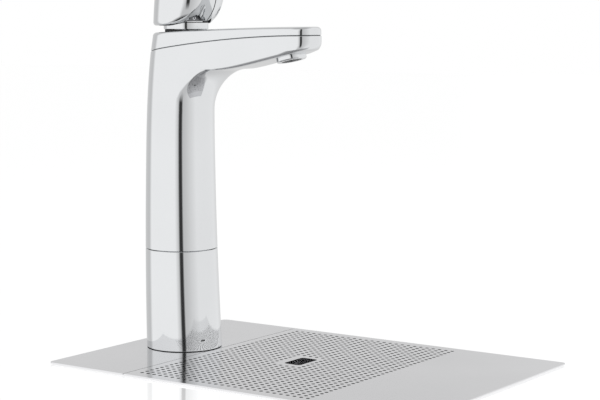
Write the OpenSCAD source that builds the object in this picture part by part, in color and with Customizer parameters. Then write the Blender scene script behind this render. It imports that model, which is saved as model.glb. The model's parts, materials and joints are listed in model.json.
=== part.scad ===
// Boiling water tap on a drip plate: chrome column and spout, two rocking levers,
// perforated lift-out cover over a drained tray, and the fixings below the worktop.
// Worktop surface at z = 0, tap axis at x = y = 0, spout towards -Y.

/* [Drip plate] */
// Length of the plate from its rear edge to its front edge
plate_l = 340; // [320:1:360]
// Width of the plate
plate_w = 231; // [228:1:250]
// Tap axis to the plate's rear edge
tap_setback = 45; // [42:1:50]
// Corner radius of the plate
plate_corner = 5; // [3:0.5:8]
// Thickness of the rear plate and of the cover
cover_t = 0.9; // [0.8:0.1:1.5]
// Width of the joint between the rear plate and the cover
cover_gap = 0.5; // [0.3:0.1:1]
// Diameter of a perforation
hole_d = 3; // [2:0.1:3.6]
// Pitch of the perforations
hole_pitch = 5.95; // [5.6:0.01:6]
// Columns of perforations along the plate
hole_cols = 27; // [10:1:28]
// Rows of perforations across the plate
hole_rows = 36; // [10:1:36]
// Tap axis to the first column of perforations
field_start = 42.5; // [41:0.5:50]
// Length of the finger hole along the plate
finger_l = 15.5; // [12:0.5:20]
// Width of the finger hole across the plate
finger_w = 26.6; // [22:0.2:32]
// Tap axis to the middle of the finger hole
finger_reach = 118.8; // [100:0.1:140]

/* [Drip tray] */
// Sheet thickness of the tray
tray_t = 0.7; // [0.6:0.1:1]
// How far the tray's edge lies inside the plate's edge
tray_inset = 1.5; // [1:0.1:3]
// Flange width beside the basin
flange_w = 6; // [5:0.5:7]
// Tap axis to the basin's rear wall
basin_start = 38; // [37:0.5:40]
// Depth of the basin below the worktop
basin_depth = 20; // [15:1:30]
// Inside corner radius of the basin
basin_corner = 8; // [6:1:12]
// Tap axis to the drain
drain_reach = 75; // [70:1:100]
// Outside diameter of the drain's threaded tail
drain_d = 30; // [28:0.5:34]
// Length of the drain's tail below the basin
drain_l = 42; // [42:1:60]
// Length of the tail's end that goes into the drain's coupling, below its relief groove
drain_end_l = 30; // [20:1:30]

/* [Mounting] */
// Diameter of the threaded shank
shank_d = 33; // [32:0.5:34]
// Length of the shank below the worktop
shank_l = 62; // [50:1:80]
// Thickness of the worktop that the tap is clamped to
worktop_t = 30; // [20:1:36]
// Width of the lock nut across its flats
nut_af = 46; // [42:1:52]

/* [Column] */
// Radius of the column at its foot
foot_r = 31.2; // [30:0.1:31.3]
// Height of the joint between riser and body above the plate
riser_h = 82; // [70:1:95]
// Loss of radius per millimetre of height
column_taper = 0.0181; // [0.01:0.0005:0.019]
// Radius of the hollow in the column
bore_r = 21.5; // [21:0.1:22]

/* [Spout] */
// Tap axis to the centre of the spout's round end
tip_reach = 118.4; // [112:0.2:130]
// Radius of the spout's round end, seen from above
tip_r = 16.5; // [16:0.1:18]
// Height of the underside beside the column
under_h = 229; // [226:0.1:234]
// Rise of the underside per millimetre towards the end
under_slope = 0.238; // [0.21:0.001:0.25]
// Diameter of the nozzle ring
nozzle_d = 24; // [22.6:0.2:26]
// Tap axis to the nozzle, along the underside's plan
nozzle_reach = 109.4; // [106:0.1:111]
// How far the nozzle ring stands out of the underside
nozzle_h = 3.5; // [2.5:0.1:5]

/* [Head] */
// Height of the levers from their lower to their upper edge
lever_h = 43.1; // [39:0.1:55]
// Rounding of the levers' upper edge
lever_round = 6; // [4:0.5:8]
// Gap between the two levers
lever_split = 1; // [0.6:0.1:2]
// Diameter of the levers' axle
axle_d = 5; // [4:0.1:6]
// Diameter of the coloured discs
disc_d = 10; // [8:0.5:12]
// Radius of the collar under the levers
collar_r = 18.2; // [17.8:0.1:18.4]

/* [Tubes] */
// Outside diameter of the boiling water tube
hot_tube_d = 7; // [6:0.1:7.2]
// Outside diameter of the chilled water tube
cold_tube_d = 6; // [5:0.1:6.4]
// Outside diameter of the vent tube
vent_tube_d = 6; // [5:0.1:6.4]
// Length of the tube ends below the shank
tube_tail = 48; // [40:1:80]
// Length of a tube's end that goes into its connector, below its stop bead
tube_end_l = 30; // [20:1:32]

/* [Clearances] */
// Gap between pieces that are set into each other
fit = 0.1; // [0.05:0.01:0.15]
// Running clearance of the levers on their axle, on the radius
run = 0.05; // [0.03:0.01:0.09]
// Gap of a visible joint line
joint_line = 0.5; // [0.2:0.05:0.8]

/* [Hidden] */
$fn = 48;

chrome = [0.80, 0.81, 0.83];
satin = [0.74, 0.74, 0.73];
steel = [0.62, 0.63, 0.65];
brass = [0.78, 0.64, 0.35];
rubber = [0.10, 0.10, 0.11];
plastic = [0.20, 0.21, 0.23];
clear_tube = [0.86, 0.87, 0.85];

plate_top = tray_t + cover_t;
rear_y = tap_setback;
front_y = tap_setback - plate_l;

// ---- the column's and spout's outer form, as heights above the plate ----
waist_h = 132;      // height at which the column leans back most
lean_back = -1.75;  // how far its centre lies behind the tap axis there
foot_fwd = 2.75;    // how far the foot stands forward of that
head_fwd = 2.76;    // and the head, a hundred millimetres above the waist
body_h = 28.4;      // underside to the joint between body and cover, at the spout's end
seam_h = under_h + body_h;
seam_drop = 14.2;
lid_h = 7;          // joint to the top of the cover, at the spout's end
top_h = seam_h + lid_h;
top_drop = 5.2;
rear_s = -20.6;     // both curves start here, behind the axis
front_s = 131;      // and are level from here
camber = 0.8;       // crown of the cover across its width
edge_r = 3;         // rounding of the cover's upper edge
under_knee = 58;    // where the underside starts to rise
knee_soft = 8;
fillet_h = 32;      // height of the spout's fillet
fillet_low = under_h - fillet_h;
fillet_out = 32;    // and its reach forward of the column
tip_round = 5.5;    // rounding below the spout's end
arris_x = 4.5;      // rounding of the underside's long edges, across
arris_s = 26;       // and along
arc_n = 14;
side_n = 6;
corner_n = 5;
chord_n = 4;

function column_r(z) = foot_r - column_taper * z;
function column_c(z) = lean_back + (z < waist_h ? foot_fwd * pow((waist_h - z) / waist_h, 2)
    : head_fwd * pow((z - waist_h) / 100, 3.4));
function sweep(s) = pow(max(0, front_s - s) / (front_s - rear_s), 1.85);
function seam_z(s) = seam_h - seam_drop * sweep(s);
function top_z(s) = top_h - top_drop * sweep(s);
function under_z(s) = under_h + under_slope * knee_soft * ln(1 + exp((s - under_knee) / knee_soft));
tip_end = tip_reach + tip_r;
function tip_lift(s) = let (u = (s - tip_end + tip_round) / tip_round)
    u <= 0 ? 0 : tip_round * (1 - sqrt(max(0, 1 - u * u)));
function bottom_z(s) = under_z(s) + tip_lift(s);

// Plan outlines run from the rear, round the +X side, to the front, as [x, forward].
function side_a(c, r, t) = acos((r - t) / (tip_reach - c));
function side_x(s, c, r, t) = let (a = side_a(c, r, t)) r * sin(a) - (s - c - r * cos(a)) / tan(a);
function rear_arc(c, r, a) = [for (i = [0:arc_n]) let (t = 180 - (180 - a) * i / arc_n)
    [r * sin(t), c + r * cos(t)]];
function side_run(c, r, t, a, s_end) = let (s1 = c + r * cos(a))
    [for (i = [1:side_n]) let (s = s1 + (s_end - s1) * i / side_n) [side_x(s, c, r, t), s]];
function clipped_half(c, r, t, sk, cx, cs) = let (a = side_a(c, r, t)) concat(
    rear_arc(c, r, a), side_run(c, r, t, a, sk - cs),
    [for (i = [1:corner_n]) let (u = 90 * i / corner_n, s = sk - cs + cs * sin(u))
        [side_x(s, c, r, t) - cx * (1 - cos(u)), s]],
    [for (i = [1:chord_n]) [(side_x(sk, c, r, t) - cx) * (1 - i / chord_n), sk]]);
function tip_half(c, r, t) = let (a = side_a(c, r, t), n = corner_n + chord_n) concat(
    rear_arc(c, r, a), side_run(c, r, t, a, tip_reach + t * cos(a)),
    [for (i = [1:n]) let (u = a * (1 - i / n)) [t * sin(u), tip_reach + t * cos(u)]]);
function round_half(c, r, pts) = [for (p = pts) let (d = norm([p[0], p[1] - c]))
    [p[0] * r / d, c + (p[1] - c) * r / d]];
function mix(p, q, w) = [for (i = [0:len(p) - 1]) p[i] * (1 - w) + q[i] * w];
function whole(h) = concat(h, [for (i = [len(h) - 2:-1:1]) [-h[i][0], h[i][1]]]);
function lift(half, f) = [for (p = whole(half)) [p[0], -p[1], f(p)]];

// A solid skinned over rings of equal length, each symmetric about x = 0.
module skin(rings) {
    m = len(rings[0]);
    h = m / 2;
    n = len(rings);
    walls = [for (k = [0:n - 2]) for (i = [0:m - 1]) let (j = (i + 1) % m)
        each [[k * m + j, (k + 1) * m + j, (k + 1) * m + i], [k * m + j, (k + 1) * m + i, k * m + i]]];
    top = (n - 1) * m;
    caps = [for (i = [0:h - 1]) let (l = (m - i) % m, k = m - i - 1)
        each concat(i < h - 1 ? [[top + i, top + i + 1, top + k], [k, i + 1, i]] : [],
            i > 0 ? [[top + i, top + k, top + l], [l, k, i]] : [])];
    polyhedron(points = [for (r = rings) each r], faces = concat(walls, caps), convexity = 6);
}

// A ring of the plain column at height z.
function column_ring(z, trim = 0) = let (c = column_c(z), r = column_r(z) - trim)
    lift(round_half(c, r, clipped_half(c, r, tip_r, c + r, 4, 6)), function (p) z);
under_start = column_c(fillet_low) + column_r(fillet_low) + fillet_out;
fillet_high = bottom_z(under_start);
// The fillet's rings widen as a circle round the column and stay within the spout's sides.
function meet(a, b, k) = a <= 0 || b <= 0 ? 0 : a * b / pow(pow(a, k) + pow(b, k), 1 / k);
function fillet_ring(t) = let (
    z = fillet_low + (fillet_high - fillet_low) * sin(90 * t), c = column_c(z), r = column_r(z),
    out = (under_start - c - r) * (1 - cos(90 * t)), a = side_a(c, r, tip_r),
    clip = clipped_half(c, r, tip_r, c + r + out, 4 + (arris_x - 4) * t, 6 + (arris_s - 6) * t))
    lift([for (p = clip) let (u = atan2(p[0], p[1] - c), side = u < a - 0.0001 ? r / cos(a - u) - r : 0,
        d = r + meet(side, out, 2 + 6 * t * t)) [d * sin(u), c + d * cos(u)]], function (p) z);
// Above the fillet the rings lean so that the last one is the joint line.
function share(s) = (bottom_z(s) - fillet_high) / (seam_z(s) - fillet_high);
function lean_z(s, v) = fillet_high + (seam_z(s) - fillet_high) * v;
function under_ring(sk) = let (v = share(sk), z = lean_z(rear_s, v), c = column_c(z), r = column_r(z))
    lift(clipped_half(c, r, tip_r, sk, arris_x, arris_s), function (p) lean_z(p[1], v));
function tip_ring(w, top = 0) = let (
    z0 = lean_z(rear_s, 1), c0 = column_c(z0), r0 = column_r(z0),
    st = tip_reach + tip_r * cos(side_a(c0, r0, tip_r)),
    v = max(top, share(st + (tip_end - st) * w)), z = lean_z(rear_s, v), c = column_c(z),
    r = column_r(z))
    lift(mix(clipped_half(c, r, tip_r, st, arris_x, arris_s), tip_half(c, r, tip_r), w),
        function (p) lean_z(p[1], v));

seam_rear = lean_z(rear_s, 1);
tip_side = tip_reach + tip_r * cos(side_a(column_c(seam_rear), column_r(seam_rear), tip_r));
fillet_n = 9;
under_n = 8;
body_rings = concat(
    [for (z = [riser_h + joint_line, 108, 134, 160, 180, fillet_low]) column_ring(z)],
    [for (t = [1:fillet_n]) fillet_ring(t / fillet_n)],
    [for (i = [0:under_n]) under_ring(under_start + 1 + (tip_side - 1.5 - under_start) * i / under_n)],
    [for (w = [0.3, 0.55, 0.75, 0.88, 0.96, 1]) tip_ring(w)],
    [tip_ring(1, 1)]);

// The cover: a wall row, a rounded edge and a cambered top, each row drawn in by d.
function cover_z(p, c, r, d) = let (
    w = max(1, p[1] > tip_side ? tip_r : side_x(max(p[1], c), c, r, tip_r)),
    drop = d < edge_r ? edge_r - sqrt(max(0, edge_r * edge_r - pow(edge_r - d, 2))) : 0)
    top_z(p[1]) - camber * pow(min(1, abs(p[0]) / w), 2) - drop;
cover_inset = 0.25;
function cover_low(v, clear) = let (z = seam_rear + (top_z(rear_s) - edge_r - seam_rear) * v,
    c = column_c(z), r = column_r(z) - cover_inset)
    lift(tip_half(c, r, tip_r - cover_inset),
        function (p) (seam_z(p[1]) + clear) * (1 - v) + v * cover_z(p, c, r, 0));
function cover_high(d, clear) = let (z = top_z(rear_s) - edge_r, c = column_c(z),
    r = column_r(z) - cover_inset)
    lift(tip_half(c, r - d, tip_r - cover_inset - d), function (p) cover_z(p, c, r, d));
cover_rings = concat([for (v = [0, 0.5, 1]) cover_low(v, joint_line)],
    [for (q = [30, 60, 90]) cover_high(edge_r * (1 - cos(q)), 0)],
    [for (d = [7, 12]) cover_high(d, 0)]);

module above_plate() { translate([0, 0, plate_top]) children(); }
module ahead(s) { translate([0, -s, 0]) children(); }
module tube(r_out, r_in, h) {
    difference() {
        cylinder(r = r_out, h = h);
        translate([0, 0, -1]) cylinder(r = r_in, h = h + 2);
    }
}
module rounded(w, l, r) {
    union() {
        square([w - 2 * r, l], center = true);
        square([w, l - 2 * r], center = true);
        for (x = [-1, 1]) for (y = [-1, 1]) translate([x * (w / 2 - r), y * (l / 2 - r)]) circle(r);
    }
}

// ---- drip plate ----
cover_rear_y = -(column_c(0) + foot_r + 0.5);
module plate_outline() {
    translate([0, (rear_y + front_y) / 2]) rounded(plate_w, plate_l, plate_corner);
}
module tray_outline(inset) {
    translate([0, (rear_y + front_y) / 2])
        rounded(plate_w - 2 * inset, plate_l - 2 * inset, max(1, plate_corner - inset));
}
basin_w = plate_w - 2 * (tray_inset + flange_w);
basin_front = front_y + tray_inset + flange_w + 2;
basin_l = -basin_start - basin_front;
module basin(grow, depth) {
    translate([0, -basin_start - basin_l / 2, -depth])
        linear_extrude(depth + 5) rounded(basin_w + 2 * grow, basin_l + 2 * grow, basin_corner + grow);
}
sump_r = drain_d / 2 + 8;
sump_depth = 2;
module drip_tray() {
    color(satin) difference() {
        union() {
            linear_extrude(tray_t) tray_outline(tray_inset);
            intersection() {
                basin(tray_t, basin_depth);
                translate([-plate_w, front_y, -basin_depth]) cube([2 * plate_w, plate_l, basin_depth + tray_t]);
            }
            ahead(drain_reach) translate([0, 0, -basin_depth - sump_depth])
                cylinder(r = sump_r + tray_t, h = sump_depth + tray_t);
        }
        basin(0, basin_depth - tray_t);
        ahead(drain_reach) translate([0, 0, -basin_depth - sump_depth + tray_t]) cylinder(r = sump_r, h = 5);
        ahead(drain_reach) translate([0, 0, -basin_depth - 9]) cylinder(r = drain_d / 2 + 2 * fit, h = 20);
        translate([0, 0, -1]) cylinder(d = shank_d + 1, h = 5);
    }
}
module rear_plate() {
    color(satin) translate([0, 0, tray_t]) linear_extrude(cover_t) difference() {
        plate_outline();
        translate([-plate_w, front_y - 1]) square([2 * plate_w, cover_rear_y - front_y + 1]);
        circle(d = shank_d + 1);
    }
}
finger_corner = 3;
finger_margin = (hole_d + hole_pitch) / 2 - 0.6;
function near_finger(x, s) = abs(x) < finger_w / 2 + finger_margin
    && abs(s - finger_reach) < finger_l / 2 + finger_margin;
module grille_cover() {
    color(satin) translate([0, 0, tray_t]) linear_extrude(cover_t) difference() {
        plate_outline();
        translate([-plate_w, cover_rear_y - cover_gap]) square([2 * plate_w, plate_l]);
        translate([0, -finger_reach]) rounded(finger_w, finger_l, finger_corner);
        for (i = [0:hole_cols - 1]) for (j = [0:hole_rows - 1])
            let (s = field_start + i * hole_pitch, x = (j - (hole_rows - 1) / 2) * hole_pitch)
                if (!near_finger(x, s)) translate([x, -s]) circle(d = hole_d);
    }
}
foot_size = 8;
foot_h = 7;
module cover_feet() {
    color(plastic) for (x = [-1, 1]) for (y = [basin_front + 1, -basin_start - 1 - foot_size])
        translate([x * (basin_w / 2 - foot_size - basin_corner / 2) - foot_size / 2, y, tray_t - foot_h])
            difference() {
                cube([foot_size, foot_size, foot_h]);
                translate([1.5, 1.5, -1]) cube([foot_size - 3, foot_size - 3, foot_h - 1]);
            }
}

// ---- drain ----
drain_top = -basin_depth - sump_depth + tray_t;
drain_bore = drain_d / 2 - 3;
relief_deep = 0.8;  // relief groove between the nut's thread and the coupling's
relief_w = 1.2;
strainer_t = 1.5;
module drain_strainer() {
    color(chrome) ahead(drain_reach) difference() {
        union() {
            translate([0, 0, drain_top]) cylinder(r = sump_r - 1, h = strainer_t);
            translate([0, 0, drain_top - drain_l]) cylinder(d = drain_d, h = drain_l + 0.5);
        }
        translate([0, 0, drain_top - drain_l - 1]) cylinder(r = drain_bore, h = drain_l);
        for (a = [0:60:300]) rotate(a) translate([7.5, 0, drain_top - 3]) cylinder(r = 2.4, h = 8);
        translate([0, 0, drain_top - 3]) cylinder(r = 2.4, h = 8);
        translate([0, 0, drain_top - drain_l + drain_end_l])
            tube(drain_d / 2 + 1, drain_d / 2 - relief_deep, relief_w);
    }
}
drain_floor = -basin_depth - sump_depth;
seal_t = 2.5;
module drain_seal() {
    color(rubber) ahead(drain_reach) translate([0, 0, drain_floor - seal_t])
        tube(drain_d / 2 + 8, drain_d / 2 + fit, seal_t);
}
drain_nut_h = 7;
module drain_nut() {
    color(brass) ahead(drain_reach) translate([0, 0, drain_floor - seal_t - drain_nut_h]) difference() {
        cylinder(r = (drain_d / 2 + 7) / cos(30), h = drain_nut_h, $fn = 6);
        translate([0, 0, -1]) cylinder(r = drain_d / 2 + fit, h = drain_nut_h + 2);
    }
}

// ---- fixing to the worktop ----
gasket_t = 0.5;
shank_r = shank_d / 2;
shank_bore = 12;
socket_h = 14;
module base_gasket() {
    color(rubber) above_plate() translate([0, -column_c(0), 0]) difference() {
        cylinder(r = foot_r - 1.5, h = gasket_t);
        translate([0, column_c(0), -1]) cylinder(r = shank_r + 1, h = gasket_t + 2);
    }
}
module threaded_shank() {
    color(brass) translate([0, 0, -shank_l])
        tube(shank_r, shank_bore, shank_l + plate_top + gasket_t + socket_h - 1);
}
washer_t = 3;
clamp_t = 2.5;
deck_washer_r = 28;
clamp_washer_r = 27;
nut_h = 9;
module deck_washer() {
    color(rubber) translate([0, 0, -worktop_t - washer_t]) tube(deck_washer_r, shank_r + fit, washer_t);
}
module clamp_washer() {
    color(steel) translate([0, 0, -worktop_t - washer_t - clamp_t]) tube(clamp_washer_r, shank_r + fit, clamp_t);
}
module lock_nut() {
    color(brass) translate([0, 0, -worktop_t - washer_t - clamp_t - nut_h]) difference() {
        cylinder(r = nut_af / 2 / cos(30), h = nut_h, $fn = 6);
        translate([0, 0, -1]) cylinder(r = shank_r + fit, h = nut_h + 2);
    }
}

// ---- tubes ----
under_a = atan(under_slope);
nozzle_z = under_z(nozzle_reach);
tube_up = 9.2;      // tube centre line above the underside, square to it
bend_r = 18;
hot_at = [-7.4, 0];
cold_at = [7, 0];
vent_at = [0, -5];
manifold_rear = 13;
socket_l = 4;       // socket that joins a tube's bend to its run along the spout
bead_l = 2;         // stop bead above a tube's end
bead_out = 0.5;
function tube_line(s) = nozzle_z + tube_up / cos(under_a) + under_slope * (s - nozzle_reach);
module water_tube(at, d, tail, depth) {
    turn = 90 - under_a;
    out = at[1] + bend_r * (1 - cos(turn));
    z1 = tube_line(out) - bend_r * sin(turn);
    end_s = nozzle_reach - (manifold_rear - depth) * cos(under_a) - tube_up * sin(under_a);
    low = -shank_l - tail - plate_top;
    above_plate() translate([at[0], -at[1], z1]) difference() {
        union() {
            rotate([180, 0, 0]) cylinder(d = d, h = z1 - low);
            translate([0, 0, low - z1 + tube_end_l]) cylinder(r = d / 2 + bead_out, h = bead_l);
            translate([0, -bend_r, 0]) {
                rotate([90, 0, 90]) rotate_extrude(angle = turn) translate([bend_r, 0]) circle(d = d);
                rotate([turn, 0, 0]) translate([0, bend_r, 0]) {
                    cylinder(d = d, h = (end_s - out) / cos(under_a));
                    translate([0, 0, -socket_l / 2]) cylinder(d = d + 1, h = socket_l);
                }
            }
        }
        translate([0, 0, low - z1 - 1]) cylinder(d = d - 2, h = tube_tail - 8);
    }
}
module hot_tube() { color(clear_tube) water_tube(hot_at, hot_tube_d, tube_tail + 4, 8); }
module cold_tube() { color(clear_tube) water_tube(cold_at, cold_tube_d, tube_tail, 8); }
module vent_tube() { color(clear_tube) water_tube(vent_at, vent_tube_d, tube_tail - 4, 8); }
module tube_holes(h) {
    for (t = [[hot_at, hot_tube_d], [cold_at, cold_tube_d], [vent_at, vent_tube_d]])
        translate([t[0][0], -t[0][1], -1]) cylinder(r = t[1] / 2 + fit, h = h + 2);
}
grommet_h = 6;
module tube_grommet() {
    color(rubber) translate([0, 0, -shank_l + 1]) difference() {
        cylinder(r = shank_bore - fit / 2, h = grommet_h);
        tube_holes(grommet_h);
    }
}

// ---- riser and body ----
sleeve_r = 24;
sleeve_half = 10;
riser_bore = sleeve_r;
foot_step = 0.8;
module riser() {
    z0 = gasket_t;
    color(chrome) above_plate() difference() {
        skin(concat([column_ring(z0, foot_step)], [for (i = [0:4]) column_ring(
            z0 + 0.8 + (riser_h - z0 - 0.8) * i / 4)]));
        translate([0, 0, -1]) cylinder(r = shank_r + fit, h = 30);
        translate([0, 0, gasket_t + socket_h]) cylinder(r = riser_bore, h = riser_h);
        sleeve_screw_bores(riser_h - sleeve_half / 2);
    }
}
module sleeve_screw_bores(z) {
    for (a = [60, 120]) rotate(a) translate([0, 0, z]) rotate([0, 90, 0]) cylinder(r = 2, h = 40);
}
module joining_sleeve() {
    color(brass) above_plate() translate([0, 0, riser_h - sleeve_half])
        tube(sleeve_r - fit, bore_r, 2 * sleeve_half);
}
module sleeve_screws() {
    color(steel) above_plate() for (a = [60, 120]) rotate(a)
        translate([sleeve_r, 0, riser_h - sleeve_half / 2]) rotate([0, 90, 0])
            cylinder(r = 2 - fit, h = 5);
}
spacer_h = 5;
module tube_spacer() {
    color(plastic) above_plate() translate([0, 0, riser_h + sleeve_half + 20]) difference() {
        cylinder(r = bore_r - fit, h = spacer_h);
        tube_holes(spacer_h);
        for (a = [0, 180]) rotate(a) translate([0, 16, -1]) cylinder(r = 4, h = spacer_h + 2);
    }
}
// Frame of the nozzle: origin on the underside, +Z square to it, +Y back towards the column.
module at_nozzle() {
    above_plate() translate([0, -nozzle_reach, nozzle_z]) rotate([-under_a, 0, 0]) children();
}
channel_w = 25;
channel_floor = 4.8;
channel_front = 10.5;
spigot_r = nozzle_d / 2 - 2.2;
ledge_rise = 7;     // ledge for the bracket, above the underside
ledge_z = under_h + ledge_rise;
ledge_r = bore_r + 1.3;
bracket_t = 3;
bracket_cut = 22;
bracket_screw_x = bore_r - 2.5;
module column_body() {
    color(chrome) difference() {
        above_plate() skin(body_rings);
        above_plate() translate([0, 0, riser_h - 1]) cylinder(r = bore_r, h = 300);
        above_plate() translate([0, 0, riser_h - 1]) cylinder(r = sleeve_r, h = sleeve_half + 1 + joint_line);
        above_plate() translate([0, 0, ledge_z]) cylinder(r = ledge_r, h = 60);
        at_nozzle() translate([-channel_w / 2, -channel_front, channel_floor])
            cube([channel_w, nozzle_reach + channel_front - 5, 60]);
        at_nozzle() translate([0, 0, -5]) cylinder(r = spigot_r + fit, h = 20);
    }
}

// ---- bracket and stem that carry the head ----
head_s = 5;         // centre of the head's round pieces, forward of the axis
stem_r = 8;
stem_bore = 5;
stem_flange_r = 11;
stem_flange_t = 2.5;
seat_deep = 5.2;    // flat seat cut into the cover
seat_z = top_h - seat_deep;
neck_seal_h = 2.7;
collar_z = seat_z + neck_seal_h;
collar_h = 5.9;
base_gap = 0.6;     // slot between collar and base, closed inside by the collar's lip
collar_lip = 14;
base_z = collar_z + collar_h + base_gap;    // underside of the pivot block's round base
base_h = 5.1;
base_r = 17.5;
module head_bracket() {
    color(steel) above_plate() translate([0, 0, ledge_z]) difference() {
        cylinder(r = ledge_r - fit, h = bracket_t);
        translate([-50, -bracket_cut - 60, -1]) cube([100, 60, bracket_t + 2]);
        ahead(head_s) translate([0, 0, -1]) cylinder(r = stem_bore, h = bracket_t + 2);
        for (x = [-1, 1]) translate([x * bracket_screw_x, 6, -1]) cylinder(r = 1.5 + fit, h = bracket_t + 2);
    }
}
module bracket_screws() {
    color(steel) above_plate() for (x = [-1, 1]) translate([x * bracket_screw_x, 6, ledge_z - 5]) {
        cylinder(r = 1.5, h = 5 + bracket_t);
        translate([0, 0, 5 + bracket_t]) cylinder(r = 2.6, h = 1.8);
    }
}
module head_stem() {
    color(brass) above_plate() ahead(head_s) translate([0, 0, ledge_z + bracket_t]) difference() {
        union() {
            cylinder(r = stem_flange_r, h = stem_flange_t);
            cylinder(r = stem_r, h = base_z + base_h - 1 - ledge_z - bracket_t);
        }
        translate([0, 0, -1]) cylinder(r = stem_bore, h = 60);
    }
}
cavity_wall = 3;
tunnel_w = 18;      // hollow under the cover, over the tubes
tunnel_l = 70;
module top_cover() {
    color(chrome) difference() {
        above_plate() skin(cover_rings);
        above_plate() ahead(head_s) translate([0, 0, ledge_z]) cylinder(r = stem_r + joint_line, h = 60);
        above_plate() ahead(head_s) translate([0, 0, seat_z]) cylinder(r = collar_r - 1 + fit, h = 20);
        above_plate() translate([0, 0, ledge_z])
            cylinder(r = bore_r - 1.5, h = seat_z - cavity_wall - ledge_z);
        above_plate() translate([-tunnel_w / 2, -tunnel_l, ledge_z])
            cube([tunnel_w, tunnel_l, seat_z - cavity_wall - ledge_z + 0.5]);
    }
}
module neck_seal() {
    color(rubber) above_plate() ahead(head_s) translate([0, 0, seat_z])
        tube(collar_r - 1, stem_r + joint_line, neck_seal_h);
}
module neck_collar() {
    color(chrome) above_plate() ahead(head_s) translate([0, 0, collar_z]) difference() {
        rotate_extrude() polygon([[stem_r + fit, 0], [collar_r - 0.4, 0], [collar_r, 0.4],
            [collar_r, collar_h - 0.6], [collar_r - 0.6, collar_h], [collar_lip, collar_h],
            [collar_lip, collar_h + base_gap], [stem_r + fit, collar_h + base_gap]]);
    }
}

// ---- pivot block, axle and levers ----
axle_s = 2;
axle_rise = 12.6;
axle_z = base_z + axle_rise;
block_x = 6.3;
block_s = [-8, 12];
block_top = axle_z + 10;
hub_r = 5;
hub_x = block_x + 0.6;
pocket_x = 13;
axle_x = 19;
grub_a = 28;
module at_axle() { above_plate() translate([0, -axle_s, axle_z]) rotate([0, 90, 0]) children(); }
module pivot_block() {
    color(steel) difference() {
        union() {
            above_plate() ahead(head_s) translate([0, 0, base_z]) cylinder(r = base_r, h = base_h);
            above_plate() translate([-block_x, -block_s[1], base_z + 1])
                cube([2 * block_x, block_s[1] - block_s[0], block_top - base_z - 1]);
        }
        above_plate() ahead(head_s) translate([0, 0, base_z - 1]) cylinder(r = stem_r + fit, h = base_h);
        at_axle() translate([0, 0, -20]) cylinder(d = axle_d + 2 * fit, h = 40);
        above_plate() ahead(head_s) translate([0, 0, base_z + base_h / 2]) rotate(-90 - grub_a)
            rotate([0, 90, 0]) cylinder(r = 1.5 + fit, h = 30);
    }
}
module pivot_grub_screw() {
    color(steel) above_plate() ahead(head_s) translate([0, 0, base_z + base_h / 2]) rotate(-90 - grub_a)
        rotate([0, 90, 0]) translate([0, 0, stem_r + fit]) difference() {
            cylinder(r = 1.5, h = base_r - stem_r - 0.8);
            translate([0, 0, base_r - stem_r - 2.4]) cylinder(r = 0.8, h = 3, $fn = 6);
        }
}
module lever_axle() { color(steel) at_axle() translate([0, 0, -axle_x]) cylinder(d = axle_d, h = 2 * axle_x); }
washer_x = 0.4;
module pivot_washers() {
    color(steel) for (x = [-1, 1]) at_axle() translate([0, 0, x * (block_x + 0.3) - washer_x / 2])
        tube(hub_r, axle_d / 2 + run, washer_x);
}

// The pair of levers is one barrel, cut in two. Its rings grow and lean forward with height.
skirt_h = 3.5;      // how far the levers hang below the pivot block's base
barrel_low = base_z - skirt_h;
lever_edge = barrel_low + lever_h;
barrel_n = 40;
barrel_rows = 10;
lever_slope = 0.176;
function barrel_front(z) = 37.5 - 13 * exp(-(z - barrel_low - 2.6) / 12);
function barrel_rear(z) = 22.7 - 0.074 * (z - barrel_low - 2.1);
view_turn = 0.822;  // the two outlines above are seen from the side, a little turned
function barrel_r(z) = (barrel_front(z) + barrel_rear(z)) / 2;
function barrel_c(z) = (barrel_front(z) - barrel_rear(z)) / 2 / view_turn;
function barrel_slope(z) = lever_slope * max(0, min(1, (z - axle_z + 1) / (lever_edge - axle_z + 1)));
function barrel_ring(z, d, up) = let (c = barrel_c(z), r = barrel_r(z) - d, k = barrel_slope(z))
    [for (i = [0:barrel_n - 1]) let (a = 360 * i / barrel_n)
        [r * sin(a), -(c - r * cos(a)), z + up - k * r * cos(a)]];
barrel_rings = concat([barrel_ring(barrel_low, 2, 0), barrel_ring(barrel_low + 0.7, 0.7, 0)],
    [for (i = [1:barrel_rows]) barrel_ring(barrel_low + lever_h * pow(i / barrel_rows, 1.4), 0, 0)],
    [for (q = [30, 60, 84]) barrel_ring(lever_edge, lever_round * (1 - cos(q)), lever_round * sin(q))],
    [barrel_ring(lever_edge, 12, lever_round + 0.9), barrel_ring(lever_edge, 20, lever_round + 1.3)]);
disc_s = 17;
disc_x = 11.5;
disc_t = 1.2;
module at_disc(x) {
    c = barrel_c(lever_edge);
    above_plate() translate([x * disc_x, -disc_s, lever_edge + lever_round + 0.6
        + lever_slope * (disc_s - c)]) rotate([-atan(lever_slope), 0, 0]) children();
}
// The levers' lower edge rises towards the front. Over the grub screw it opens into a notch.
edge_rise = 0.2;
notch_turn = 23;    // azimuth of the notch's peak, from the front
notch_r = 2.4;
notch_z = 11.1;     // height of its middle above the levers' lower edge
notch_edge = [[57, 3.3], [32, 8.3], [16, 7.3], [3, 3.8]];
module radial(turn, x) { above_plate() ahead(head_s) rotate(-90 + x * turn) children(); }
module lever_underside(x) {
    above_plate() translate([-60, -head_s, barrel_low]) rotate([-atan(edge_rise), 0, 0])
        translate([0, -60, -20]) cube([120, 60, 20]);
    radial(notch_turn, x) translate([27, 0, barrel_low + notch_z]) rotate([0, 225, 0])
        translate([0, 0, -10]) cylinder(r = notch_r, h = 24);
    hull() for (p = notch_edge) for (drop = [0, 12]) radial(p[0], x)
        translate([24.5, 0, barrel_low + p[1] - 0.6 - drop]) rotate([0, -110, 0])
            translate([0, 0, -8]) cylinder(r = 0.6, h = 15, $fn = 8);
}
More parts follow.
